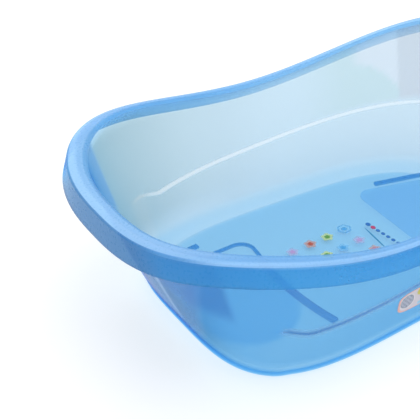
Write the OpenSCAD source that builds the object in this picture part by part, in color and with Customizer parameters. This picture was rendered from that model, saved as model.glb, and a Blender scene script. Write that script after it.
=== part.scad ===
// Baby bathtub: one-piece moulded shell with a waved, turned-down rim, a non-slip
// seat mat, a lift-out drain plug, a printed floor pattern and a side label.
// Units: mm. X runs along the tub (the drain end is +X), Y across, Z up. The origin
// is on the ground under the middle of the rim.

/* [Rim] */
// Half of the length over the rim's top edge
rim_half_length = 406.8; // [360:1:440]
// Half of the width over the rim's top edge, before the taper
rim_half_width = 245.6; // [220:1:270]
// Plan shape of the rim: 2 is an ellipse, higher is squarer
rim_squareness = 2.61; // [2:0.05:5]
// Share of the width lost at the drain end and gained at the other end
taper = 0.133; // [0:0.005:0.2]
// Rim height at the end away from the drain
height_back_end = 256.2; // [200:0.5:300]
// Rim height a quarter of the way along
height_back_quarter = 238.5; // [200:0.5:300]
// Rim height in the middle, where the arms rest
height_middle = 209.2; // [180:0.5:280]
// Rim height three quarters of the way along
height_front_quarter = 240.2; // [200:0.5:300]
// Rim height at the drain end
height_front_end = 262.7; // [200:0.5:300]
// Width of the rim's flat top along the sides
rim_top_side = 11; // [6:0.5:25]
// Width of the rim's flat top at the ends
rim_top_end = 22; // [8:0.5:40]
// Radius of the shoulder between the rim's top and the side walls
shoulder_side = 6; // [3:0.5:15]
// Radius of the shoulder between the rim's top and the end walls
shoulder_end = 8; // [5:0.5:30]
// Depth of the turned-down skirt
skirt_drop = 31; // [10:0.5:45]
// Extra depth of the skirt at the end away from the drain
skirt_extra = 1.5; // [0:0.5:10]
// How far the skirt leans out at its lower edge
skirt_flare = 7.8; // [0:0.1:15]

/* [Body] */
// Wall thickness
wall = 2.4; // [2:0.1:5]
// Half of the body's length just above the bottom rounding
base_half_length = 289.2; // [240:1:340]
// Half of the body's width just above the bottom rounding
base_half_width = 202.1; // [160:0.5:230]
// Plan shape of the body's lower end
base_squareness = 3.5; // [2:0.1:7]
// Shift of the body's lower end towards the drain end
base_shift = -3; // [-20:1:30]
// How far the walls bow outwards between floor and rim, as a share
wall_bulge = 0.18; // [0:0.01:0.5]
// Underside of the floor above the ground
foot_height = 4.5; // [2:0.5:15]
// Rounding between the outer wall and the underside
bottom_round = 15; // [5:1:30]
// Rounding between the inner wall and the floor
floor_round = 19; // [5:1:30]

/* [Wall step] */
// Height of the step that runs along both sides, in the middle of the tub
step_height = 105.5; // [60:0.2:140]
// How much the step rises per mm towards the drain end
step_slope = 0.068; // [0:0.001:0.1]
// Depth of the step
step_depth = 4; // [0:0.5:8]

/* [Floor] */
// Width of the cross rib under the floor
cross_rib_width = 12; // [4:1:20]
// Radius of the drain hole
drain_radius = 18; // [10:0.5:25]
// Position of the drain hole along the tub
drain_x = 205; // [150:1:250]
// Thickness of the non-slip seat mat
mat_thickness = 1.2; // [0.8:0.1:3]
// Radius of the hole in the mat around the drain
mat_hole_radius = 30; // [25:1:40]

/* [Plug] */
// Radial gap between the plug's neck and the drain hole
plug_gap = 0.4; // [0.2:0.05:1]
// Radius of the plug's flange
plug_flange_radius = 23; // [20:0.5:30]
// Height of the pull tab above the flange
tab_height = 17; // [8:1:30]

/* [Print and label] */
// Thickness of the printed films
film = 0.3; // [0.2:0.05:0.6]
// Petal ring radius of a small printed flower
flower_size = 5; // [3:0.5:8]
// Low and high end of the side label along the tub
label_from = -57; // [-80:1:0]
label_to = 36; // [10:1:80]
// Low and high edge of the side label
label_low = 56; // [25:1:60]
label_high = 95; // [60:1:98]

/* [Hidden] */
shoulder_turn = 75;
round_steps = 96;
floor_top = foot_height + wall;
wall_foot = foot_height + bottom_round;

// ---- shape functions ----
function mix(a, b, t) = a + (b - a) * t;
function clamp01(t) = max(0, min(1, t));
function smooth(t) = let (c = clamp01(t)) c * c * (3 - 2 * c);
function bend(c, n) = sign(c) * pow(abs(c), 2 / n);
function narrow(x) = 1 - taper * x / rim_half_length;

// Plan outline of a ring at angle t, as [x, y].
function outline(a, b, n, shift, t) =
    let (x = shift + a * bend(cos(t), n)) [x, b * bend(sin(t), n) * narrow(x)];

// Quartic through five heights at -1, -0.5, 0, 0.5 and 1 along the tub.
function wave(u) =
    height_back_end * (u + 0.5) * u * (u - 0.5) * (u - 1) / 1.5
    - height_back_quarter * (u + 1) * u * (u - 0.5) * (u - 1) / 0.375
    + height_middle * (u + 1) * (u + 0.5) * (u - 0.5) * (u - 1) / 0.25
    - height_front_quarter * (u + 1) * (u + 0.5) * u * (u - 1) / 0.375
    + height_front_end * (u + 1) * (u + 0.5) * u * (u - 0.5) / 1.5;
function rim_z(t) = wave(bend(cos(t), rim_squareness));

// Depth of the skirt at angle t.
function skirt_low(t) = skirt_drop + skirt_extra * smooth((-cos(t) - 0.75) / 0.2);

// Ring of the rim: inset from the top edge along the ends and sides, height above it.
function rim_point(t, end_inset, side_inset, dz) =
    let (p = outline(rim_half_length - end_inset, rim_half_width - side_inset,
                     rim_squareness, 0, t))
    [p[0], p[1], rim_z(t) + dz];

// The shoulder turns the rim's top down into the wall. It is larger at the ends.
function shoulder_z(t) = mix(shoulder_side, shoulder_end,
                             smooth((abs(bend(cos(t), rim_squareness)) - 0.5) / 0.4));
function shoulder_point(t, angle, thick) =
    rim_point(t, rim_top_end - thick + shoulder_end * sin(angle),
              rim_top_side - thick + shoulder_side * sin(angle),
              -thick - shoulder_z(t) * (1 - cos(angle)));
function wall_top(t) = rim_z(t) - shoulder_z(t) * (1 - cos(shoulder_turn));

// Point on the wall at angle t and height z; inset moves it inwards.
function wall_point(t, z, inset) =
    let (h = (z - wall_foot) / (wall_top(t) - wall_foot),
         s = h + wall_bulge * h * (1 - h), turn = sin(shoulder_turn),
         low = outline(base_half_length - inset, base_half_width - inset,
                       base_squareness, base_shift, t),
         high = outline(rim_half_length - rim_top_end - shoulder_end * turn + wall - inset,
                        rim_half_width - rim_top_side - shoulder_side * turn + wall - inset,
                        rim_squareness, 0, t))
    [mix(low[0], high[0], s), mix(low[1], high[1], s), z];

// The step fades out at the body's corners and hooks up at the end away from the drain.
function step_x(t) = wall_point(t, step_height, 0)[0];
function step_amount(t) =
    step_depth * smooth((step_x(t) + 268) / 34) * smooth((316 - step_x(t)) / 30);
function step_z(t) = step_height + step_slope * step_x(t)
                     + 18 * smooth((-200 - step_x(t)) / 50);
// Below the step the wall stands inwards by the step's depth.
function low_wall(t, share, inset) =
    wall_point(t, mix(wall_foot, step_z(t) - 1.5, share), inset + step_amount(t));
function high_wall(t, share, top_drop, inset) =
    wall_point(t, mix(step_z(t) + 1.5, wall_top(t) - top_drop, share), inset);
function bottom_point(t, angle, radius, inset, z) =
    let (p = outline(base_half_length - inset - radius * (1 - sin(angle)),
                     base_half_width - inset - radius * (1 - sin(angle)) - step_amount(t),
                     base_squareness, base_shift, t))
    [p[0], p[1], z + radius * (1 - cos(angle))];

// All rings from the underside, up the outside, over the rim and down to the floor.
function rings() = [
    for (k = [0 : 2]) [for (t = angles()) bottom_point(t, k * 30, bottom_round, 0, foot_height)],
    for (k = [0 : 2]) [for (t = angles()) low_wall(t, k / 2, 0)],
    for (k = [0 : 5]) [for (t = angles()) high_wall(t, k / 5, wall, 0)],
    for (k = [2 : -1 : 0]) [for (t = angles()) shoulder_point(t, k * 25, wall)],
    [for (t = angles()) rim_point(t, 5, 5, -wall - 0.4)],
    [for (t = angles()) rim_point(t, 2.8, 2.8, -wall - 3)],
    [for (t = angles()) rim_point(t, wall - skirt_flare, wall - skirt_flare, -skirt_low(t))],
    [for (t = angles()) rim_point(t, 0.6 - skirt_flare, 0.6 - skirt_flare, -skirt_low(t) - 0.3)],
    [for (t = angles()) rim_point(t, -skirt_flare, -skirt_flare, -skirt_low(t) + 0.8)],
    [for (t = angles()) rim_point(t, -0.6, -0.6, -2.6)],
    [for (t = angles()) rim_point(t, 0.4, 0.4, -0.6)],
    [for (t = angles()) rim_point(t, 2.6, 2.6, 0.1)],
    [for (t = angles()) rim_point(t, rim_top_end / 2, rim_top_side / 2, 0.8)],
    for (k = [0 : 2]) [for (t = angles()) shoulder_point(t, k * 25, 0)],
    for (k = [5 : -1 : 0]) [for (t = angles()) high_wall(t, k / 5, 0, wall)],
    for (k = [2 : -1 : 0]) [for (t = angles()) low_wall(t, k / 2, wall)],
    for (k = [2 : -1 : 0]) [for (t = angles())
        bottom_point(t, k * 30, floor_round, wall, floor_top)]
];
function angles() = [for (k = [0 : round_steps - 1]) k * 360 / round_steps];
function ring_faces(count) = [
    [for (j = [0 : round_steps - 1]) j],
    for (i = [0 : count - 2], j = [0 : round_steps - 1])
        let (a = i * round_steps + j, d = i * round_steps + (j + 1) % round_steps)
        each [[a, a + round_steps, d + round_steps], [a, d + round_steps, d]],
    [for (j = [round_steps - 1 : -1 : 0]) (count - 1) * round_steps + j]
];
function joined(list) = [for (part = list) each part];

// Corner arc of a rounded polygon, from angle a0 to a1.
function arc(cx, cy, r, a0, a1) =
    [for (k = [0 : 6]) let (a = mix(a0, a1, k / 6)) [cx + r * cos(a), cy + r * sin(a)]];

// ---- parts ----
module shell_body() {
    all = rings();
    polyhedron(points = joined(all), faces = ring_faces(len(all)), convexity = 10);
}

module bar(x, y, length, width, angle, height) {
    translate([x, y, 0]) rotate([0, 0, angle])
        translate([-length / 2, -width / 2, 0]) cube([length, width, height]);
}

// The cross rib bows towards the end away from the drain.
function cross_x(y) = -108 + 14 * pow(y / 118, 2);
module cross_rib(height) {
    ys = [for (k = [0 : 16]) mix(-118, 58, k / 16)];
    linear_extrude(height = height) polygon(concat(
        [for (y = ys) [cross_x(y) + cross_rib_width / 2, y]],
        [for (k = [16 : -1 : 0]) [cross_x(ys[k]) - cross_rib_width / 2, ys[k]]]));
}

// Ribs under the floor: the tub stands on them.
module under_ribs() {
    top = foot_height + 1;
    cross_rib(top);
    for (side = [-1, 1]) bar(212, side * 120, 84, 8, side * -15.5, top);
    bar(-180, 153, 28, 9, 4, top);
    // an arch: a straight, a quarter ring and a leg
    bar(-147.5, 122, 55, 5, 0, top);
    bar(-98.5, 78, 43, 5, 83, top);
    translate([-120, 98, 0]) intersection() {
        difference() {
            cylinder(r = 26.5, h = top, $fn = 64);
            translate([0, 0, -1]) cylinder(r = 21.5, h = top + 2, $fn = 64);
        }
        translate([0, 0, -1]) cube([30, 30, top + 2]);
    }
}

module tub_shell() {
    color([0.45, 0.72, 0.93]) difference() {
        union() {
            shell_body();
            under_ribs();
        }
        translate([drain_x, 0, -1]) cylinder(r = drain_radius, h = 20, $fn = 64);
    }
}

module seat_mat() {
    edge = concat(arc(144, 99, 22, 180, 95), arc(222, 64, 32, 78, 0),
                  arc(222, -64, 32, 0, -78), arc(144, -99, 22, -95, -180));
    color([0.38, 0.66, 0.92]) translate([0, 0, floor_top]) difference() {
        linear_extrude(height = mat_thickness) polygon(edge);
        translate([drain_x, 0, -1]) cylinder(r = mat_hole_radius, h = 5, $fn = 64);
    }
}

module drain_plug() {
    flange_z = floor_top + 0.3;
    color([0.93, 0.95, 0.97]) translate([drain_x, 0, 0]) difference() {
        union() {
            translate([0, 0, 1.2])
                cylinder(r = drain_radius - plug_gap, h = flange_z, $fn = 64);
            translate([0, 0, flange_z]) cylinder(r = plug_flange_radius, h = 2.4, $fn = 64);
            translate([0, 0, flange_z + 2.4])
                cylinder(r1 = plug_flange_radius, r2 = plug_flange_radius - 2, h = 1.2, $fn = 64);
            translate([-9, -2.2, flange_z + 3]) cube([18, 4.4, tab_height - 8]);
            translate([0, 2.2, flange_z + tab_height - 5]) rotate([90, 0, 0])
                cylinder(r = 9, h = 4.4, $fn = 48);
        }
        translate([0, 5, flange_z + tab_height - 5]) rotate([90, 0, 0])
            cylinder(r = 4.5, h = 10, $fn = 48);
        translate([0, 0, 0]) cylinder(r = drain_radius - 3.5, h = flange_z, $fn = 64);
    }
}

module flower(x, y, size) {
    translate([x, y, floor_top]) {
        for (k = [0 : 4]) rotate([0, 0, k * 72 + 18]) translate([size, 0, 0])
            cylinder(r = size * 0.62, h = film, $fn = 24);
        cylinder(r = size * 0.6, h = film, $fn = 24);
    }
}

module floor_print() {
    color([0.95, 0.6, 0.7]) {
        for (x = [-54, -19, 14]) flower(x, 51, flower_size);
        flower(49, 52, flower_size * 1.5);
        for (x = [-14, 18, 51]) flower(x, 14, flower_size);
        for (x = [20, 57]) flower(x, -18, flower_size);
        for (k = [0 : 6]) translate([88 + k * 1.4, 41 - k * 11.2, floor_top])
            cylinder(r = 4, h = film, $fn = 24);
        bar_on_floor(75, 5, 1.6, 64, -5);
    }
}
module bar_on_floor(x, y, width, length, angle) {
    translate([x, y, floor_top]) rotate([0, 0, angle])
        translate([-width / 2, -length / 2, 0]) cube([width, length, film]);
}

// Side label: a thin film that follows the lower wall on the -Y side.
function wall_face(x, z) =
    let (step = 360 / round_steps, t0 = 270 - step, side = x < label_seam(z) ? 0 : 1,
         p = low_edge(t0 + side * step, z), q = low_edge(t0 + side * step + step, z),
         s = (x - p[0]) / (q[0] - p[0])) mix(p, q, s);
function low_edge(t, z) =
    let (half = low_wall(t, 0.5, 0), lo = z < half[2] ? low_wall(t, 0, 0) : half,
         hi = z < half[2] ? half : low_wall(t, 1, 0)) mix(lo, hi, (z - lo[2]) / (hi[2] - lo[2]));
function label_seam(z) = low_edge(270, z)[0];
function label_edge() = let (r = 12) concat(
    arc(label_to - r, label_high - r, r, 90, 0), arc(label_to - r, label_low + r, r, 0, -90),
    arc(label_from + r, label_low + r, r, 270, 180), arc(label_from + r, label_high - r, r, 180, 90));
// The outline is cut where the wall's two facets meet, so the film lies flat on each.
module side_label() {
    gap = 0.2;
    corners = label_edge();
    edge = concat([for (k = [0 : 13]) corners[k]], [[label_seam(label_low), label_low]],
                  [for (k = [14 : 27]) corners[k]],
                  [[label_seam(label_high), label_high]]);
    count = len(edge);
    middle = (label_low + label_high) / 2;
    near = [for (p = concat(edge, [[label_seam(middle), middle]])) wall_face(p[0], p[1]) + [0, -gap, 0]];
    out = [for (p = near) p + [0, -film, 0]];
    color([0.94, 0.93, 0.93]) polyhedron(
        points = concat(near, out),
        faces = [for (j = [0 : count - 1]) let (k = (j + 1) % count)
            each [[count, k, j], [count + 1 + count, count + 1 + j, count + 1 + k],
                  [j, k, count + 1 + k], [j, count + 1 + k, count + 1 + j]]]);
}

tub_shell();
seat_mat();
drain_plug();
floor_print();
side_label();
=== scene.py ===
import math

import bmesh
import bpy
import numpy as np
from mathutils import Matrix, Vector


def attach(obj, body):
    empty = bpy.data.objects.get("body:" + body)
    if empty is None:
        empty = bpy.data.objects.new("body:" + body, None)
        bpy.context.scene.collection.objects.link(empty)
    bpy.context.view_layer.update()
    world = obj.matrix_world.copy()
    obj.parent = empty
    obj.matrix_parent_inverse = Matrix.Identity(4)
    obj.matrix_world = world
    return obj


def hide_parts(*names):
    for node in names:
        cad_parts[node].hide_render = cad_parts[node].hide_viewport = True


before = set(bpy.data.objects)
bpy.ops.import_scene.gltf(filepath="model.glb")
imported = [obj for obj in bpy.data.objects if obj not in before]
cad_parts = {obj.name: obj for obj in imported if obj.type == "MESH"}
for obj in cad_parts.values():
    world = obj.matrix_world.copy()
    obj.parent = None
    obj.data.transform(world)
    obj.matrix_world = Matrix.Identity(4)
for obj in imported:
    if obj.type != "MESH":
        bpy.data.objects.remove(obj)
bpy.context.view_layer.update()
MM = 0.001

# ---------------------------------------------------------------- shape of the tub
# All sizes are in mm. X runs along the tub (the drain end is +X), Y across, Z up.
RIM_L, RIM_W = 406.8, 245.6  # half of the rim's length and width over its top edge
RIM_N, TAPER = 2.61, 0.133  # squareness of its plan, share of width lost at the drain end
HEIGHTS = (256.2, 238.5, 209.2, 240.2, 262.7)  # rim heights from the back end to the drain end
TOP_SIDE, TOP_END = 11.0, 22.0  # width of the rim's flat top along the sides and at the ends
DROP, DROP_MORE, FLARE = 31.0, 1.5, 7.79  # skirt depth, extra depth at the back end, lean
SH_SIDE, SH_END, TURN = 6.0, 8.0, math.radians(75)  # shoulder radii and how far they turn
WALL, BULGE = 2.4, 0.18  # wall thickness, how far the walls bow outwards as a share
BASE_L, BASE_W, BASE_N, SHIFT = 289.2, 202.1, 3.5, -3.0  # half sizes, squareness, place
FOOT, ROUND_OUT, ROUND_IN = 4.5, 15.0, 19.0  # underside's height, roundings under and inside
STEP_Z, STEP_D, STEP_RISE = 105.5, 4.0, 0.068  # step along the walls: height, depth, slope
FLOOR = FOOT + WALL
FOOT_Z = FOOT + ROUND_OUT
DRAIN_X, DRAIN_R = 205.0, 18.0


def smooth(t):
    c = np.clip(t, 0, 1)
    return c * c * (3 - 2 * c)


def bend(c, n):
    """A cosine or sine bent so that an ellipse turns into a rounder or squarer shape."""
    return np.sign(c) * np.abs(c) ** (2 / n)


def outline(a, b, n, shift, t):
    """Plan of the tub at angle t, narrower towards the drain end."""
    x = shift + a * bend(np.cos(t), n)
    return x, b * bend(np.sin(t), n) * (1 - TAPER * x / RIM_L)


def rim_z(t):
    """Height of the rim: a smooth wave through HEIGHTS."""
    u = bend(np.cos(t), RIM_N)
    at = (-1, -0.5, 0, 0.5, 1)
    total = 0
    for i, h in enumerate(HEIGHTS):
        term = h
        for j, q in enumerate(at):
            if j != i:
                term = term * (u - q) / (at[i] - q)
        total = total + term
    return total


def skirt_low(t):
    return DROP + DROP_MORE * smooth((-np.cos(t) - 0.75) / 0.2)


def rim_point(t, end_inset, side_inset, dz):
    x, y = outline(RIM_L - end_inset, RIM_W - side_inset, RIM_N, 0, t)
    return np.stack([x, y, rim_z(t) + dz], -1)


def shoulder_z(t):
    return SH_SIDE + (SH_END - SH_SIDE) * smooth((np.abs(bend(np.cos(t), RIM_N)) - 0.5) / 0.4)


def shoulder_point(t, angle, thick):
    return rim_point(t, TOP_END - thick + SH_END * math.sin(angle),
                     TOP_SIDE - thick + SH_SIDE * math.sin(angle),
                     -thick - shoulder_z(t) * (1 - math.cos(angle)))


def wall_top(t):
    return rim_z(t) - shoulder_z(t) * (1 - math.cos(TURN))


def wall_point(t, z, inset):
    s = (z - FOOT_Z) / (wall_top(t) - FOOT_Z)
    s = s + BULGE * s * (1 - s)
    end = TOP_END + SH_END * math.sin(TURN) - WALL
    side = TOP_SIDE + SH_SIDE * math.sin(TURN) - WALL
    x0, y0 = outline(BASE_L - inset, BASE_W - inset, BASE_N, SHIFT, t)
    x1, y1 = outline(RIM_L - end - inset, RIM_W - side - inset, RIM_N, 0, t)
    return np.stack([x0 + (x1 - x0) * s, y0 + (y1 - y0) * s, z + 0 * t], -1)


def step_x(t):
    return wall_point(t, STEP_Z, 0)[..., 0]


def step_amount(t):
    x = step_x(t)
    return STEP_D * smooth((x + 268) / 34) * smooth((316 - x) / 30)


def step_z(t):
    x = step_x(t)
    return STEP_Z + STEP_RISE * x + 18 * smooth((-200 - x) / 50)


def side_wall(t, z, inset):
    """The wall with its step as one smooth S, 3.6 mm high."""
    share = 1 - smooth((z - step_z(t) + 1.8) / 3.6)
    return wall_point(t, z, inset + step_amount(t) * share)


def bottom_point(t, angle, radius, inset, z):
    k = radius * (1 - math.sin(angle))
    x, y = outline(BASE_L - inset - k, BASE_W - inset - k, BASE_N, SHIFT, t)
    y = y - step_amount(t) * np.sign(np.sin(t)) * np.abs(bend(np.sin(t), BASE_N))
    return np.stack([x, y, z + radius * (1 - math.cos(angle)) + 0 * t], -1)


COUNT = 360
T = np.linspace(0, 2 * math.pi, COUNT, endpoint=False)
BELOW_STEP, ABOVE_STEP = 8, 14  # rings of the wall below and above its step
STEP_ROWS = slice(BELOW_STEP - 1, BELOW_STEP + 8)  # the wall's rings across the step


def tub_rings():
    """(ring points, zone) from the underside, over the rim, to the floor."""
    out = []

    def wall_rings(inset, top_drop, zone, upward):
        zs = []
        sz, top = step_z(T), wall_top(T) - top_drop
        for k in range(1, BELOW_STEP + 1):
            zs.append(FOOT_Z + (sz - 4 - FOOT_Z) * k / BELOW_STEP)
        for k in range(1, 9):
            zs.append(sz - 4 + k)
        for k in range(1, ABOVE_STEP + 1):
            zs.append(sz + 4 + (top - sz - 4) * k / ABOVE_STEP)
        rows = [(side_wall(T, z, inset), zone) for z in zs]
        out.extend(rows if upward else rows[::-1])

    for k in range(9):
        out.append((bottom_point(T, math.radians(k * 80 / 8), ROUND_OUT, 0, FOOT), "base"))
    wall_rings(0, WALL, "wall_out", True)
    for k in range(9, -1, -1):
        out.append((shoulder_point(T, TURN * k / 10, WALL), "shoulder_out"))
    under = [(5, 5, -WALL - 0.4), (3, 3, -WALL - 1.2), (2.4, 2.4, -WALL - 3)]
    for a, b, dz in under:
        out.append((rim_point(T, a, b, dz), "skirt_in"))
    for k in range(1, 8):
        m = k / 7
        e = 2.4 + (WALL - 0.4 - FLARE - 2.4) * m
        out.append((rim_point(T, e, e, -WALL - 3 + (WALL + 3 - skirt_low(T)) * m), "skirt_in"))
    for k in range(1, 6):
        a = math.pi * k / 6
        mid, r = 1.3 - FLARE, 1.3
        out.append((rim_point(T, mid + r * math.cos(a), mid + r * math.cos(a),
                              -skirt_low(T) - 0.35 * math.sin(a)), "skirt_edge"))
    for k in range(0, 9):
        m = k / 8
        e = -FLARE + (FLARE - 0.7) * m
        out.append((rim_point(T, e, e, -skirt_low(T) + (skirt_low(T) - 3.3) * m), "skirt_out"))
    for k in range(1, 8):
        a = math.pi / 2 * k / 8
        e = -0.7 + 3.4 * (1 - math.cos(a))
        out.append((rim_point(T, e, e, -3.3 + 3.4 * math.sin(a)), "rim_edge"))
    for k in range(0, 9):
        m = k / 8
        e = 2.7 + (TOP_END - 2.7) * m
        w = 2.7 + (TOP_SIDE - 2.7) * m
        out.append((rim_point(T, e, w, 0.1 * (1 - m) + 0.7 * math.sin(math.pi * m)), "rim_top"))
    for k in range(1, 10):
        out.append((shoulder_point(T, TURN * k / 10, 0), "shoulder_in"))
    wall_rings(WALL, 0, "wall_in", False)
    for k in range(12, -1, -1):
        out.append((bottom_point(T, math.radians(k * 80 / 12), ROUND_IN, WALL, FLOOR), "floor_round"))
    return out


def new_object(name, verts, faces, smooth_faces=True):
    mesh = bpy.data.meshes.new(name)
    mesh.from_pydata([tuple(v) for v in verts], [], faces)
    mesh.validate()
    mesh.update()
    if smooth_faces:
        mesh.polygons.foreach_set("use_smooth", [True] * len(mesh.polygons))
    ob = bpy.data.objects.new(name, mesh)
    bpy.context.scene.collection.objects.link(ob)
    return ob


def make_tub():
    rings = tub_rings()
    pts = np.concatenate([r for r, _ in rings]) * MM
    n = len(rings)
    faces, zones = [], []
    for i in range(n - 1):
        for j in range(COUNT):
            a, b = i * COUNT + j, i * COUNT + (j + 1) % COUNT
            faces.append((a, b, b + COUNT, a + COUNT))
            zones.append(rings[i + 1][1])
    # floor panels: rings drawn in to the drain's circle, above and below
    verts = [tuple(p) for p in pts]
    for first, z, flip in ((0, FOOT, True), ((n - 1) * COUNT, FLOOR, False)):
        edge = pts[first:first + COUNT] / MM
        ang = np.arctan2(edge[:, 1], edge[:, 0] - DRAIN_X)
        hole = np.stack([DRAIN_X + DRAIN_R * np.cos(ang), DRAIN_R * np.sin(ang)], -1)
        prev = [first + j for j in range(COUNT)]
        for k in range(1, 37):
            m = k / 36
            row = []
            for j in range(COUNT):
                p = edge[j, :2] * (1 - m) + hole[j] * m
                row.append(len(verts))
                verts.append((p[0] * MM, p[1] * MM, z * MM))
            for j in range(COUNT):
                q = (prev[j], prev[(j + 1) % COUNT], row[(j + 1) % COUNT], row[j])
                faces.append(q[::-1] if flip else q)
                zones.append("under" if flip else "floor")
            prev = row
        if flip:
            low_hole = prev
    for j in range(COUNT):
        k = (j + 1) % COUNT
        faces.append((prev[j], prev[k], low_hole[k], low_hole[j]))
        zones.append("floor")
    tub = new_object("tub_moulding", verts, faces)
    return tub, zones


# ---------------------------------------------------------------- materials
def nodes_of(name):
    mat = bpy.data.materials.new(name)
    mat.use_nodes = True
    nt = mat.node_tree
    nt.nodes.clear()
    out = nt.nodes.new("ShaderNodeOutputMaterial")
    return mat, nt, out


def colour_attribute(ob, name, colours):
    """colours: one RGB per vertex."""
    att = ob.data.color_attributes.new(name, "FLOAT_COLOR", "POINT")
    flat = np.ones((len(ob.data.vertices), 4), dtype=np.float32)
    flat[:, :3] = colours
    att.data.foreach_set("color", flat.ravel())


def grain(nt, shader, scale, rough, strength, depth):
    """Roughness and a fine bump from one noise in object space."""
    N, L = nt.nodes.new, nt.links.new
    noise = N("ShaderNodeTexNoise")
    noise.inputs["Scale"].default_value = scale
    coords = N("ShaderNodeTexCoord")
    L(coords.outputs["Object"], noise.inputs["Vector"])
    spread = N("ShaderNodeMapRange")
    spread.inputs["From Min"].default_value = 0.3
    spread.inputs["From Max"].default_value = 0.7
    spread.inputs["To Min"].default_value = rough[0]
    spread.inputs["To Max"].default_value = rough[1]
    L(noise.outputs["Fac"], spread.inputs["Value"])
    L(spread.outputs["Result"], shader.inputs["Roughness"])
    bump = N("ShaderNodeBump")
    bump.inputs["Strength"].default_value = strength
    bump.inputs["Distance"].default_value = depth
    L(noise.outputs["Fac"], bump.inputs["Height"])
    L(bump.outputs["Normal"], shader.inputs["Normal"])
    return noise


def clear_plastic():
    """Clear blue polypropylene: what passes is dimmed by its thickness, the rest scatters."""
    mat, nt, out = nodes_of("translucent_polypropylene")
    N, L = nt.nodes.new, nt.links.new
    tint = N("ShaderNodeVertexColor")
    tint.layer_name = "tint"
    body = N("ShaderNodeVertexColor")
    body.layer_name = "body"
    share = N("ShaderNodeVertexColor")
    share.layer_name = "share"
    see = N("ShaderNodeBsdfTransparent")
    L(tint.outputs["Color"], see.inputs["Color"])
    pr = N("ShaderNodeBsdfPrincipled")
    L(body.outputs["Color"], pr.inputs["Base Color"])
    pr.inputs["IOR"].default_value = 1.49
    grain(nt, pr, 260, (0.265, 0.30), 0.006, 0.0002)
    mix = N("ShaderNodeMixShader")
    L(share.outputs["Color"], mix.inputs["Fac"])
    L(see.outputs[0], mix.inputs[1])
    L(pr.outputs[0], mix.inputs[2])
    L(mix.outputs[0], out.inputs["Surface"])
    dim = N("ShaderNodeVolumeAbsorption")
    dim.inputs["Color"].default_value = (0.06, 0.67, 0.94, 1)
    dim.inputs["Density"].default_value = 100
    L(dim.outputs[0], out.inputs["Volume"])
    return mat


# ---------------------------------------------------------------- pieces
tub, zones = make_tub()


# ---------------------------------------------------------------- shades of the tub, with painted light and shade
# Light runs through the plastic, and its light and shade by place are painted on here. Every vertex
# carries the tint that one surface passes, the colour it scatters and the share of the light that it
# scatters.
# The light body on the rim's top and edge is partly the plastic's colour, partly a painted highlight
# along the rim.
ZONE = {
    "base": ((0.96, 0.98, 0.99), (0.30, 0.60, 0.90), 0.08),
    "under": ((0.93, 0.97, 0.99), (0.30, 0.60, 0.90), 0.08),
    "floor": ((0.62, 0.80, 0.88), (0.30, 0.60, 0.90), 0.10),
    "floor_round": ((0.93, 0.95, 0.96), (0.60, 0.78, 0.90), 0.10),
    "wall_out": ((0.97, 0.98, 0.99), (0.30, 0.60, 0.90), 0.08),
    "wall_in": ((0.93, 0.95, 0.96), (0.60, 0.78, 0.90), 0.10),
    "shoulder_out": ((0.85, 0.92, 0.97), (0.15, 0.47, 0.86), 0.25),
    "skirt_in": ((0.85, 0.91, 0.96), (0.05, 0.40, 0.83), 0.40),
    "skirt_edge": ((0.80, 0.88, 0.95), (0.04, 0.36, 0.78), 0.50),
    "skirt_out": ((0.82, 0.90, 0.95), (0.04, 0.38, 0.80), 0.46),
    "rim_edge": ((0.80, 0.90, 0.96), (0.30, 0.58, 0.93), 0.78),
    "rim_top": ((0.80, 0.90, 0.96), (0.31, 0.60, 0.95), 0.80),
    "shoulder_in": ((0.84, 0.92, 0.97), (0.20, 0.50, 0.85), 0.45),
}


def ramp(value, start, span):
    """0 before start, rising softly to 1 at start + span. A negative span runs downwards."""
    return smooth((value - start) / span)


def hump(value, low, high, soft):
    """1 between low and high, falling to 0 over soft on either side."""
    return smooth((value - low) / soft + 0.5) * smooth((high - value) / soft + 0.5)


class TubPaint:
    """Tint, body colour and share on every vertex of the tub, changed by place to paint light and
    shade.
    """

    def __init__(self, ob, face_zones):
        count = len(ob.data.vertices)
        self.ob = ob
        self.tint, self.body, self.share = (np.zeros((count, 3)) for _ in range(3))
        hits = np.zeros(count)
        for poly, zone in zip(ob.data.polygons, face_zones):
            passed, scattered, amount = ZONE[zone]
            for v in poly.vertices:
                self.tint[v] += passed
                self.body[v] += scattered
                self.share[v] += amount
                hits[v] += 1
        hits = np.maximum(hits, 1)[:, None]
        self.tint, self.body, self.share = self.tint / hits, self.body / hits, self.share / hits
        place = np.array([v.co for v in ob.data.vertices]) / MM
        self.x, self.y, self.z = place[:, 0], place[:, 1], place[:, 2]
        self.ring_names = [name for _, name in tub_rings()]
        self.flat_from = len(self.ring_names) * COUNT
        self.angle = self.on_all_rows(np.degrees(T))
        self.drop = self.on_all_rows(rim_z(T)) - self.z
        self.far_side = ramp(self.y, 40, 120)
        self.near_side = ramp(self.y, -60, -100)

    def zone(self, name):
        """1 on the rings of a zone, 0 elsewhere."""
        return self.on_rows(self.rows(name), [1.0] * len(self.rows(name)))

    def rows(self, name):
        return [i for i, zone in enumerate(self.ring_names) if zone == name]

    def on_rows(self, rows, weights):
        """A weight per ring, which is one number or a number for each step round it."""
        out = np.zeros(len(self.x))
        for row, weight in zip(rows, weights):
            out[row * COUNT:(row + 1) * COUNT] = weight
        return out

    def on_all_rows(self, weight):
        rows = range(len(self.ring_names))
        return self.on_rows(rows, [weight] * len(rows))

    def blend(self, amount, tint=None, body=None, share=None):
        """Move the given attributes towards new values by a per-vertex amount."""
        k = np.clip(amount, 0, 1)[:, None]
        for values, target in ((self.tint, tint), (self.body, body), (self.share, share)):
            if target is not None:
                values += (np.array(target, dtype=float) - values) * k

    def dim(self, amount, by):
        """Take a share of each colour from the tint."""
        self.tint *= 1 - amount[:, None] * np.array(by)

    def write(self):
        colour_attribute(self.ob, "tint", self.tint)
        colour_attribute(self.ob, "body", self.body)
        colour_attribute(self.ob, "share", self.share)


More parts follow.
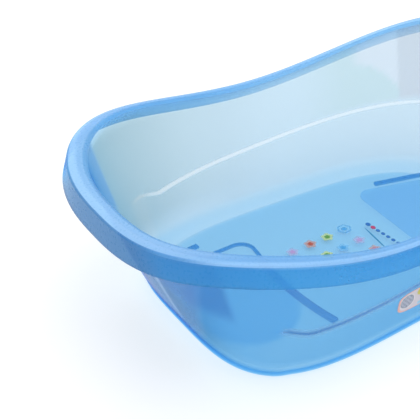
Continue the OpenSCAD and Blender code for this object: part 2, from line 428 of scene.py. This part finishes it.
def paint_skirt_light_and_shade(p):
    # painted light and shade: the far side has the light behind it, so it is painted paler, and
    # painted deeper blue at the end away from the drain
    for name in ("skirt_in", "skirt_out", "skirt_edge"):
        far = p.zone(name) * p.far_side
        p.blend(far, tint=(0.95, 0.975, 0.99), body=(0.2, 0.52, 0.9), share=0.13)
        p.blend(far * ramp(p.x, 80, -220), tint=(0.80, 0.94, 0.99), body=(0.06, 0.48, 0.95),
                share=0.24)
    # painted light: the near side is painted paler towards the drain end, in painted sheen streaks
    # that run along it
    rows = p.rows("skirt_out")
    sheen_bands = p.on_rows(rows, [0.25, 0.5, 0.75, 0.8, 0.45, 0.35, 0.7, 1.0, 0.9])
    p.blend((1 - p.far_side) * ramp(p.x, -230, 200) * sheen_bands, tint=(0.97, 0.98, 0.99), share=0.16)
    # painted shade: the other end is painted darker, most of all at the lower edge
    end = ramp(p.x, -250, -80) * (1 - p.far_side)
    p.blend(p.zone("skirt_out") * end * 0.8, body=(0.03, 0.30, 0.69), share=0.56)
    shaded_low_edge = p.on_rows(rows[:3], [0.9, 0.6, 0.2]) + p.zone("skirt_edge")
    p.blend(shaded_low_edge * end, body=(0.03, 0.27, 0.62), share=0.72)


def paint_rim_light_and_shade(p):
    # painted highlight and shade: the top is painted light in an outer band and turns to mid blue
    # towards the inside, later so at the ends
    top_rows = p.rows("rim_top")
    highlight_width = 0.2 + 0.42 * smooth((np.abs(p.x) / RIM_L - 0.78) / 0.2)
    by_drain = 1 - 0.7 * p.far_side * ramp(p.x, 60, 160)
    for k, row in enumerate(top_rows):
        inner = p.on_rows([row], [1.0]) * smooth((k / 8 - highlight_width + 0.12) / 0.24)
        p.blend(inner * by_drain, body=(0.18, 0.44, 0.80))
    # painted shade: the rim's edge is darker towards the end away from the drain
    p.blend(p.zone("rim_edge") * ramp(p.x, -330, -50) * 0.9, body=(0.08, 0.33, 0.70))
    # painted shade: the inner part of the rim's top and the inner shoulder are darker at the end away
    # from the drain and along the near side
    end = ramp(p.x, -250, -130)
    for k, row in enumerate(top_rows):
        inner = p.on_rows([row], [1.0]) * smooth((k / 8 - 0.56) / 0.16) * end
        p.blend(inner, body=(0.10, 0.34, 0.68), share=0.95)
    p.blend(p.zone("rim_top") * 0.5 * end, body=(0.20, 0.46, 0.80))
    p.blend(p.zone("shoulder_in") * (1 - p.far_side), body=(0.12, 0.38, 0.74), share=0.75)
    p.blend(p.zone("shoulder_in") * ramp(p.x, -270, -60), body=(0.10, 0.34, 0.68), share=0.88)
    # painted shade: the outermost end of the skirt and of the rim's edge is painted the darkest
    outer = p.zone("skirt_out") + p.zone("skirt_edge") + p.zone("rim_edge")
    p.blend(outer * ramp(p.x, -380, -24), body=(0.03, 0.20, 0.50), share=0.82)


def paint_wall_shade(p):
    # painted shade: grey-blue at the end away from the drain, paler towards the drain
    wall_in = p.zone("wall_in")
    inside = (wall_in + p.zone("floor_round")) * (1 - p.near_side)
    shaded_end_wall = wall_in * hump(p.angle, 148, 214, 4) * ramp(p.z, 112, 36)
    grey = inside * ramp(p.x, 60, -420) * ramp(p.z, 12, 60) * ramp(p.drop, 10, 8) * (1 - shaded_end_wall)
    p.dim(grey, (0.35, 0.32, 0.34))
    # painted shade: the inside is a little darker, and the far wall more so towards the drain
    p.dim(inside, (0.09, 0.07, 0.06))
    p.dim(wall_in * ramp(p.y, 60, 60) * ramp(p.x, -160, 120), (0.07, 0.06, 0.05))
    # painted shade: the end wall is painted mid blue as far as the corner's crease
    p.dim(shaded_end_wall, (0.58, 0.43, 0.24))


def paint_facet_light_and_shade(p):
    """Painted light and shade on three facets of the far wall above the step, towards the drain end:
    painted shade on the facet nearest the drain end, a pale painted highlight above a curve beside
    it, and light painted shade on the rest.
    """
    above = p.zone("wall_in") * ramp(p.y, 40, 40) * smooth((p.z - STEP_Z - STEP_RISE * p.x) / 12)
    drain_end_shade = smooth((p.x - 244.5) / 6 + 0.5)
    edge_x, edge_z = (150, 175, 200, 224, 244, 250), (211, 199, 193, 175, 150, 140)
    over = smooth((p.z - np.interp(p.x, edge_x, edge_z)) / 10 + 0.5)
    pale = (1 - drain_end_shade) * ramp(p.x, 160, 30) * over
    other = (1 - drain_end_shade - pale) * ramp(p.x, 60, 120)
    # painted shade, painted highlight and painted shade on the three facets
    p.dim(above * drain_end_shade, (0.05, 0.13, 0.13))
    p.dim(above * pale, (-0.09, 0.0, 0.01))
    p.dim(above * other, (0.07, 0.04, 0.08))


def paint_step_highlight_and_shade(p):
    """A painted highlight along the step inside, and a painted dark shade line outside on the near
    wall.
    """
    depth = smooth(step_amount(T) / STEP_D)
    inside_rows = p.rows("wall_in")[::-1][STEP_ROWS]
    light = p.on_rows(inside_rows, [w * depth for w in (0, 0.25, 0.75, 1, 1, 1, 0.75, 0.25, 0)])
    # painted highlight along the step inside the tub
    p.blend(light * (1 - p.near_side) * ramp(p.x, -242, 24), body=(0.88, 0.97, 1.0), share=0.48)
    outside_rows = p.rows("wall_out")[STEP_ROWS]
    dark = p.on_rows(outside_rows, [w * depth for w in (0.6, 1, 1, 1, 1, 1, 1, 1, 1)])
    # painted shade line along the step on the near wall's outside
    p.blend(dark * p.near_side * ramp(p.x, -248, 16), body=(0.03, 0.20, 0.52), share=1.0)


def paint_corner_sheen_and_shade(p):
    """The near corner of the end wall: a painted lilac sheen with a pale painted highlight streak and
    a dark painted shade streak.
    """
    wall_out = p.zone("wall_out")
    high = ramp(p.z, 25, 45)
    # painted sheen and shade over the corner
    p.blend(wall_out * hump(p.angle, 181, 188 + 0.09 * p.z, 6) * high,
            body=(0.15, 0.33, 0.66), share=0.40)
    p.blend(wall_out * hump(p.angle, 168, 181, 4) * high, body=(0.20, 0.36, 0.62), share=0.62)
    for at_angle, colour, amount in ((183, (0.45, 0.62, 0.86), 0.6), (187, (0.07, 0.20, 0.46), 0.5)):
        streak = np.exp(-((p.angle - at_angle) / 1.2) ** 2) * ramp(p.z, 40, 40)
        p.blend(wall_out * streak, body=colour, share=amount)


def paint_back_rest(p):
    """A rounded, thicker area moulded into the floor at the end away from the drain, shown only as a
    darker tint.
    """
    floor_like = p.zone("floor_round")
    floor_like[p.flat_from:] = 1
    r = np.hypot((p.x + 188) / 84, (p.y + 8) / 101)
    p.dim(floor_like * smooth((1.03 - r) / 0.10), (0.24, 0.08, 0.01))


shades = TubPaint(tub, zones)
for paint_place in (paint_skirt_light_and_shade, paint_rim_light_and_shade, paint_wall_shade, paint_facet_light_and_shade, paint_step_highlight_and_shade, paint_corner_sheen_and_shade,
                    paint_back_rest):
    paint_place(shades)
shades.write()
tub.data.materials.append(clear_plastic())
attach(tub, "tub")
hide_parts("tub_shell")


# ---------------------------------------------------------------- smaller pieces
def arc(cx, cy, r, a0, a1, steps=12):
    """Points round a circle from one angle to another, in degrees."""
    return [(cx + r * math.cos(math.radians(a0 + (a1 - a0) * k / steps)),
             cy + r * math.sin(math.radians(a0 + (a1 - a0) * k / steps))) for k in range(steps + 1)]


def loop_mesh(name, loops, closed):
    """A closed skin through loops of equal length. closed joins the last loop to the first."""
    n, m = len(loops[0]), len(loops)
    verts = [tuple(c * MM for c in p) for loop in loops for p in loop]
    faces = []
    for i in range(m if closed else m - 1):
        for j in range(n):
            a, b = i * n + j, i * n + (j + 1) % n
            c, d = ((i + 1) % m) * n + (j + 1) % n, ((i + 1) % m) * n + j
            faces.append((a, b, c, d))
    if not closed:
        faces.append(tuple(range(n))[::-1])
        faces.append(tuple((m - 1) * n + j for j in range(n)))
    ob = new_object(name, verts, faces)
    bm = bmesh.new()
    bm.from_mesh(ob.data)
    bmesh.ops.recalc_face_normals(bm, faces=bm.faces)
    bm.to_mesh(ob.data)
    bm.free()
    return ob


def towards(loop, centre, by):
    """The outline drawn in towards a centre."""
    out = []
    for x, y in loop:
        d = math.hypot(x - centre[0], y - centre[1])
        k = (d - by) / d
        out.append((centre[0] + (x - centre[0]) * k, centre[1] + (y - centre[1]) * k))
    return out


def rounded_ring(name, outer, inner, centre, low, high, r, place):
    """A flat ring with rounded edges. place turns (a, b, height) into (x, y, z)."""
    loops = []
    for h, turn in ((low, -1), (high, 1)):
        edge = [math.radians(90 * k / 4) for k in range(5)]
        rows_in = [(towards(inner, centre, -r * (1 - math.cos(e))), h - turn * r * (1 - math.sin(e)))
                   for e in edge]
        rows_out = [(towards(outer, centre, r * (1 - math.cos(e))), h - turn * r * (1 - math.sin(e)))
                    for e in edge]
        if turn < 0:
            loops += rows_in + rows_out[::-1]
        else:
            loops += rows_out + rows_in[::-1]
    return loop_mesh(name, [[place(x, y, h) for x, y in loop] for loop, h in loops], True)


def by_angle(loop, centre, count):
    """The outline resampled evenly by angle round a centre."""
    pts = np.array(loop)
    ang = np.unwrap(np.arctan2(pts[:, 1] - centre[1], pts[:, 0] - centre[0]))
    if ang[-1] < ang[0]:
        pts, ang = pts[::-1], ang[::-1]
    pts = np.concatenate([pts, pts[:1]])
    ang = np.append(ang, ang[0] + 2 * math.pi)
    want = ang[0] + np.linspace(0, 2 * math.pi, count, endpoint=False)
    # a straight edge is cut where the ray meets it, so corners stay true
    out = []
    for w in want:
        i = min(max(int(np.searchsorted(ang, w, side="right")) - 1, 0), len(ang) - 2)
        p, q = pts[i], pts[i + 1]
        d = np.array([math.cos(w), math.sin(w)])
        e = q - p
        den = d[0] * e[1] - d[1] * e[0]
        if abs(den) < 1e-9:
            out.append(tuple(p))
            continue
        f = ((p - centre)[0] * e[1] - (p - centre)[1] * e[0]) / den
        out.append((centre[0] + d[0] * f, centre[1] + d[1] * f))
    return out, want


def paint(ob, tint, body, share):
    """The same plastic attributes on every vertex of a small piece."""
    n = len(ob.data.vertices)
    for name, value in (("tint", tint), ("body", body), ("share", (share,) * 3)):
        colour_attribute(ob, name, np.tile(np.array(value, dtype=float), (n, 1)))


def dress(ob, mat, body, node=None):
    ob.data.materials.append(mat)
    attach(ob, body)
    if node:
        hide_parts(node)


# ---------------------------------------------------------------- ribs under the floor
RIB_CUT = 0.6  # bevel round a rib's lower face


def strip(path, width):
    """Outline of a band along a path, with square ends."""
    p = np.array(path, dtype=float)
    d = np.gradient(p, axis=0)
    d /= np.linalg.norm(d, axis=1)[:, None]
    n = np.stack([-d[:, 1], d[:, 0]], -1) * width / 2
    return [tuple(q) for q in p + n] + [tuple(q) for q in (p - n)[::-1]]


def dense(points, step=4):
    """The path with extra points, so that none are more than a few mm apart."""
    out = []
    for (x0, y0), (x1, y1) in zip(points, points[1:]):
        k = max(1, int(math.hypot(x1 - x0, y1 - y0) / step))
        out += [(x0 + (x1 - x0) * i / k, y0 + (y1 - y0) * i / k) for i in range(k)]
    return out + [points[-1]]


def rib(name, path, width):
    """A rib from the ground to the underside of the floor."""
    edge = strip(dense(path), width)
    inner = strip(dense(path), width - 2 * RIB_CUT)
    rows = [(inner, 0), (edge, RIB_CUT), (edge, FOOT - 0.05)]
    ob = loop_mesh(name, [[(x, y, z) for x, y in loop] for loop, z in rows], False)
    paint(ob, (0.74, 0.91, 0.99), (0.04, 0.42, 0.84), 0.32)
    dress(ob, plastic, "tub")


def make_ribs():
    rib("rib_cross", [(-108 + 14 * (y / 118) ** 2, y) for y in range(-118, 59, 4)], 12)
    rib("rib_arch", [(-175, 122)] + arc(-120, 98, 24, 90, 2) + [(-101, 58)], 5)
    rib("rib_short", [(-194, 152), (-166, 154)], 9)
    half, lean = 42, math.radians(15.5)
    dx, dy = half * math.cos(lean), half * math.sin(lean)
    for side, word in ((-1, "front"), (1, "rear")):
        ends = [(212 - dx, side * (120 + dy)), (212 + dx, side * (120 - dy))]
        rib("rib_long_" + word, ends, 8)


# ---------------------------------------------------------------- seat mat
MAT_THICK, MAT_HOLE_R, MAT_EDGE_R = 1.2, 30, 0.55
LIFT = 0.02  # clear gap between the floor and what lies on it


def make_seat_mat():
    drain = np.array([DRAIN_X, 0.0])
    edge = (arc(144, 99, 22, 180, 95) + arc(222, 64, 32, 78, 0)
            + arc(222, -64, 32, 0, -78) + arc(144, -99, 22, -95, -180))
    outer, angles = by_angle(edge, drain, 240)
    inner = [(DRAIN_X + MAT_HOLE_R * math.cos(a), MAT_HOLE_R * math.sin(a)) for a in angles]
    mat_piece = rounded_ring("seat_mat_soft", outer, inner, drain, FLOOR + LIFT,
                             FLOOR + MAT_THICK, MAT_EDGE_R, lambda x, y, h: (x, y, h))
    paint(mat_piece, (0.95, 0.975, 1.0), (0.25, 0.58, 0.95), 0.07)
    dress(mat_piece, plastic, "tub", "seat_mat")


# ---------------------------------------------------------------- drain plug
FLANGE_Z = FLOOR + 0.3  # underside of the plug's flange
TAB_Z = FLANGE_Z + 12  # middle of the pull tab
TAB_R, TAB_HOLE_R, TAB_HALF = 9, 4.5, 2.2


def lathe(name, profile, centre, count=72):
    """A turned body. profile is a list of (radius, height) from end to end."""
    loops = [[(centre[0] + r * math.cos(2 * math.pi * k / count),
               centre[1] + r * math.sin(2 * math.pi * k / count), z) for k in range(count)]
             for r, z in profile]
    return loop_mesh(name, loops, False)


def soft_rubber():
    """White rubber, a little cloudy."""
    mat, nt, out = nodes_of("soft_white_rubber")
    rubber = nt.nodes.new("ShaderNodeBsdfPrincipled")
    speck = grain(nt, rubber, 700, (0.40, 0.56), 0.12, 0.0002)
    ramp_node = nt.nodes.new("ShaderNodeValToRGB")
    low, high = ramp_node.color_ramp.elements
    low.position, high.position = 0.35, 0.65
    low.color, high.color = (0.80, 0.85, 0.90, 1), (0.88, 0.92, 0.95, 1)
    nt.links.new(speck.outputs["Fac"], ramp_node.inputs["Fac"])
    nt.links.new(ramp_node.outputs["Color"], rubber.inputs["Base Color"])
    nt.links.new(rubber.outputs[0], out.inputs["Surface"])
    return mat


def make_plug():
    neck = [(13.0, FLANGE_Z - 0.2), (14.4, FLANGE_Z - 0.4), (14.5, 1.8), (14.9, 1.3),
            (17.0, 1.3), (17.6, 1.9), (17.6, FLANGE_Z - 0.3)]
    flange = [(18.0, 0), (22.2, 0), (22.9, 0.5), (23.0, 1.6), (22.6, 2.5), (21.4, 3.3),
              (19.5, 3.55), (16.5, 3.2), (15.0, 3.0), (13.5, 3.2), (11.0, 3.5), (6.0, 3.6),
              (1.0, 3.6)]
    plug = lathe("plug_body", neck + [(r, FLANGE_Z + h) for r, h in flange], (DRAIN_X, 0))
    middle = np.array([0.0, TAB_Z])
    edge = arc(0, TAB_Z, TAB_R, 0, 180, 24) + [
        (-TAB_R, FLANGE_Z + 3.0), (-6, FLANGE_Z + 2.6), (6, FLANGE_Z + 2.6), (TAB_R, FLANGE_Z + 3.0)]
    outer, angles = by_angle(edge, middle, 96)
    inner = [(TAB_HOLE_R * math.cos(a), TAB_Z + TAB_HOLE_R * math.sin(a)) for a in angles]
    tab = rounded_ring("plug_tab", outer, inner, middle, -TAB_HALF, TAB_HALF, 1.0,
                       lambda x, y, h: (DRAIN_X + x, h, y))
    rubber = soft_rubber()
    dress(plug, rubber, "plug", "drain_plug")
    dress(tab, rubber, "plug")


# ---------------------------------------------------------------- printed films
FILM = 0.3  # thickness of the films
PRINT_THICK = FILM - 2 * LIFT


def film_material(name):
    """Ink painted on the vertices, over what shows through where the cover is thin."""
    mat, nt, out = nodes_of(name)
    N, L = nt.nodes.new, nt.links.new
    ink = N("ShaderNodeVertexColor")
    ink.layer_name = "ink"
    cover = N("ShaderNodeVertexColor")
    cover.layer_name = "cover"
    see = N("ShaderNodeBsdfTransparent")
    pr = N("ShaderNodeBsdfPrincipled")
    grain(nt, pr, 900, (0.26, 0.38), 0.05, 0.0001)
    L(ink.outputs["Color"], pr.inputs["Base Color"])
    mix = N("ShaderNodeMixShader")
    L(cover.outputs["Color"], mix.inputs["Fac"])
    L(see.outputs[0], mix.inputs[1])
    L(pr.outputs[0], mix.inputs[2])
    L(mix.outputs[0], out.inputs["Surface"])
    return mat


def linear(rgb):
    """A screen colour of 0 to 255 as linear light."""
    c = np.array(rgb, dtype=float) / 255
    return np.where(c <= 0.04045, c / 12.92, ((c + 0.055) / 1.055) ** 2.4)


def film_piece(shares, count, point, heights, ink_at, cover_at):
    """A closed film: a fan and rings at two heights, joined round the edge.

    point(angle, share, height) gives a place; ink_at and cover_at take (angle, ring, place)."""
    verts, faces, ink, cover = [], [], [], []
    for top, height in enumerate(heights):
        base = len(verts)
        spots = [(0.0, 0, point(0.0, 0, height))]
        for ring, share in enumerate(shares, 1):
            for k in range(count):
                a = 2 * math.pi * k / count
                spots.append((a, ring, point(a, share, height)))
        for spot in spots:
            verts.append(spot[2])
            ink.append(ink_at(*spot))
            cover.append(cover_at(*spot))
        for k in range(count):
            j = (k + 1) % count
            around = [(base, base + 1 + k, base + 1 + j)]
            for i in range(len(shares) - 1):
                a0 = base + 1 + i * count
                around.append((a0 + k, a0 + count + k, a0 + count + j, a0 + j))
            faces += around if top else [f[::-1] for f in around]
    side = 1 + count * len(shares)
    last = side - count
    for k in range(count):
        j = (k + 1) % count
        faces.append((last + k, last + j, side + last + j, side + last + k))
    return verts, faces, ink, cover


def film_disc(x, y, edge, rings, stretch=1.0):
    """A print on the floor. edge(a) is its radius at angle a; rings are (share, colour, cover)."""
    def point(a, share, height):
        r = edge(a) * share
        u, v = r * math.cos(a), r * math.sin(a)
        return x + u * stretch, y + v, FLOOR + LIFT + height

    def tone(ring):
        return rings[max(ring - 1, 0)]

    return film_piece([r[0] for r in rings], 60, point, (0, PRINT_THICK),
                      lambda a, ring, place: tone(ring)[1], lambda a, ring, place: tone(ring)[2])


def join_films(name, parts, mat, node):
    verts, faces, ink, cover = [], [], [], []
    for v, f, i, c in parts:
        base = len(verts)
        verts += [tuple(q * MM for q in p) for p in v]
        faces += [tuple(base + k for k in face) for face in f]
        ink += list(i)
        cover += list(c)
    ob = new_object(name, verts, faces, False)
    colour_attribute(ob, "ink", np.array([linear(i) for i in ink]))
    colour_attribute(ob, "cover", np.array([[c, c, c] for c in cover]))
    dress(ob, mat, "tub", node)


# ---------------------------------------------------------------- floor print
SKY = (150, 200, 235)
PINK, ORANGE, GREEN, BLUE = (200, 150, 205), (186, 84, 60), (96, 160, 64), (62, 165, 225)
ROSE = (205, 130, 160)
PALE_P, PALE_O, PALE_G, PALE_B = (190, 185, 225), (205, 165, 160), (200, 222, 150), (120, 195, 240)
NAVY, CRIMSON, TEAL, LIGHT_TEAL = (36, 112, 190), (190, 60, 110), (36, 140, 185), (50, 145, 195)
FLOWERS = [  # x, y, size, heart, petals, how strong the print is
    (-54, 50, 7.0, PINK, PALE_P, 0.55), (-19, 51, 7.2, ORANGE, PALE_O, 0.9),
    (14, 51, 7.2, GREEN, PALE_G, 0.85), (49, 53, 8.0, BLUE, PALE_B, None),
    (-14, 13, 7.0, GREEN, PALE_G, 0.85), (18, 14, 7.0, BLUE, PALE_B, 0.7),
    (51, 16, 7.0, PINK, PALE_P, 0.5), (20, -18, 7.0, ORANGE, PALE_O, 0.8),
    (57, -17, 7.0, ROSE, PALE_O, 0.7)]


def flower(x, y, size, heart, petals, strong):
    rings = [(0.22, heart, strong), (0.38, heart, strong * 0.9), (0.52, petals, strong * 0.75),
             (0.78, petals, strong * 0.6), (0.92, petals, strong * 0.3), (1.0, SKY, 0.04)]
    return film_disc(x, y, lambda a: size * (1.42 + 0.16 * math.cos(5 * a + 0.4)), rings)


def ring_flower(x, y, size, heart, petals):
    rings = [(0.16, heart, 0.55), (0.34, heart, 0.4), (0.5, petals, 0.15), (0.7, petals, 0.2),
             (0.82, heart, 0.4), (0.92, heart, 0.3), (1.0, SKY, 0.03)]
    return film_disc(x, y, lambda a: size * (1.5 + 0.1 * math.cos(6 * a)), rings)


def dot(k):
    """One of a row of dots; the first two are larger and the second is red."""
    tone = CRIMSON if k == 1 else NAVY
    size = 5.0 if k in (0, 1) else 4.0
    rings = [(0.4, tone, 0.95), (0.8, tone, 0.85), (1, tone, 0.3)]
    return film_disc(88 + k * 1.4, 41 - k * 11.2, lambda a: size, rings, stretch=0.8)


def make_floor_print():
    prints = [flower(*f) if f[5] is not None else ring_flower(*f[:5]) for f in FLOWERS]
    prints += [dot(k) for k in range(7)]
    prints.append(line_print(75, 5))
    join_films("flower_print", prints, film_material("printed_film"), "floor_print")


def line_print(x, y, half_width=1.3, half_length=32, lean=2.8):
    """A thin line beside the dots."""
    def point(a, share, height):
        u, v = share * math.cos(a), share * math.sin(a)
        return x + u * half_width + v * lean, y + v * half_length, FLOOR + LIFT + height

    return film_piece([0.5, 1], 60, point, (0, PRINT_THICK),
                      lambda a, ring, place: LIGHT_TEAL if ring == 2 else TEAL,
                      lambda a, ring, place: 0.6 if ring == 2 else 0.85)


# ---------------------------------------------------------------- side label
LABEL_X, LABEL_Z = -10.5, 75.5
LABEL_HALF_X, LABEL_HALF_Z = 46.0, 18.9
LABEL_RINGS, LABEL_STEPS = 44, 160


def wall_at(x, z, out):
    """A point that stands a distance out from the near wall's outside."""
    t = np.radians(np.linspace(250, 290, 161))
    p = side_wall(t, np.full_like(t, z), 0)
    return x, float(np.interp(x, p[:, 0], p[:, 1])) - out, z


def label_radius(a):
    """A rounded box's radius at angle a."""
    across, up = abs(math.cos(a)) / LABEL_HALF_X, abs(math.sin(a)) / LABEL_HALF_Z
    return 1 / (across ** 4 + up ** 4) ** 0.25


def label_ink(x, z):
    """Plain marks: a ringed disc with a soft pattern, a yellow disc and a blue field."""
    d = math.hypot(x + 40, z - 77)
    if d < 14:
        if d > 12.4:
            return (226, 222, 228)
        if d > 10.6:
            return (120, 132, 150)
        light = math.sin(x * 0.9) * math.sin(z * 0.8) > -0.2
        return (176, 182, 200) if light else (104, 116, 140)
    if math.hypot(x + 15, z - 86) < 7.5:
        return (196, 186, 70)
    if z < 65 and x > -18:
        return (150, 200, 226)
    return (206, 198, 206)


def make_label():
    def point(a, share, height):
        r = label_radius(a) * share
        return wall_at(LABEL_X + r * math.cos(a), LABEL_Z + r * math.sin(a), height)

    def ink(a, ring, place):
        return (226, 170, 160) if ring / LABEL_RINGS > 0.93 else label_ink(place[0], place[2])

    shares = [i / LABEL_RINGS for i in range(1, LABEL_RINGS + 1)]
    sheet = film_piece(shares, LABEL_STEPS, point, (0.06, 0.34), ink, lambda *spot: 0.93)
    join_films("label_sticker", [sheet], film_material("label_film"), "side_label")


plastic = tub.data.materials[0]
make_ribs()
make_seat_mat()
make_plug()
make_floor_print()
make_label()


# ---------------------------------------------------------------- stage, lights, camera
FOCAL = 1300 / 420  # focal length in picture widths
SENSOR = 36
CAMERA_AT = (-0.9879, -1.2867, 1.2512)
CAMERA_AHEAD, CAMERA_RIGHT = (0.4133, 0.7023, -0.5796), (0.8480, -0.5288, -0.0360)


def make_ground():
    """A plain pale floor, lit a little from within so that the shadow stays soft."""
    bpy.ops.mesh.primitive_plane_add(size=30, location=(0, 0, 0))
    ground = bpy.context.object
    ground.name = "ground"
    mat, nt, out = nodes_of("pale_floor")
    pr = nt.nodes.new("ShaderNodeBsdfPrincipled")
    pr.inputs["Base Color"].default_value = (0.62, 0.62, 0.62, 1)
    pr.inputs["Roughness"].default_value = 0.9
    pr.inputs["Emission Color"].default_value = (1, 1, 1, 1)
    pr.inputs["Emission Strength"].default_value = 0.46
    nt.links.new(pr.outputs[0], out.inputs["Surface"])
    ground.data.materials.append(mat)


def make_world():
    world = bpy.data.worlds.new("studio")
    bpy.context.scene.world = world
    world.use_nodes = True
    sky = world.node_tree.nodes["Background"]
    sky.inputs["Color"].default_value = (1, 1, 1, 1)
    sky.inputs["Strength"].default_value = 0.8


def area(name, place, aim, size, power):
    light = bpy.data.lights.new(name, "AREA")
    light.size = size
    light.energy = power
    ob = bpy.data.objects.new(name, light)
    ob.location = place
    ob.rotation_euler = (Vector(aim) - Vector(place)).to_track_quat("-Z", "Y").to_euler()
    bpy.context.scene.collection.objects.link(ob)


def make_camera():
    cam = bpy.data.cameras.new("camera")
    camera = bpy.data.objects.new("camera", cam)
    bpy.context.scene.collection.objects.link(camera)
    bpy.context.scene.camera = camera
    cam.sensor_width = SENSOR
    cam.lens = FOCAL * SENSOR
    ahead = Vector(CAMERA_AHEAD).normalized()
    right = Vector(CAMERA_RIGHT)
    right = (right - ahead * right.dot(ahead)).normalized()
    up = right.cross(ahead)
    rows = [(right[i], up[i], -ahead[i], CAMERA_AT[i]) for i in range(3)]
    camera.matrix_world = Matrix((*rows, (0, 0, 0, 1)))


make_ground()
make_world()
area("key", (0.3, -0.6, 2.6), (0, 0, 0.1), 2.4, 26)
area("back", (0.5, 2.2, 1.6), (0, 0, 0.1), 1.6, 10)
make_camera()
bpy.context.scene.view_settings.view_transform = "Standard"
bpy.context.scene.cycles.transparent_max_bounces = 32
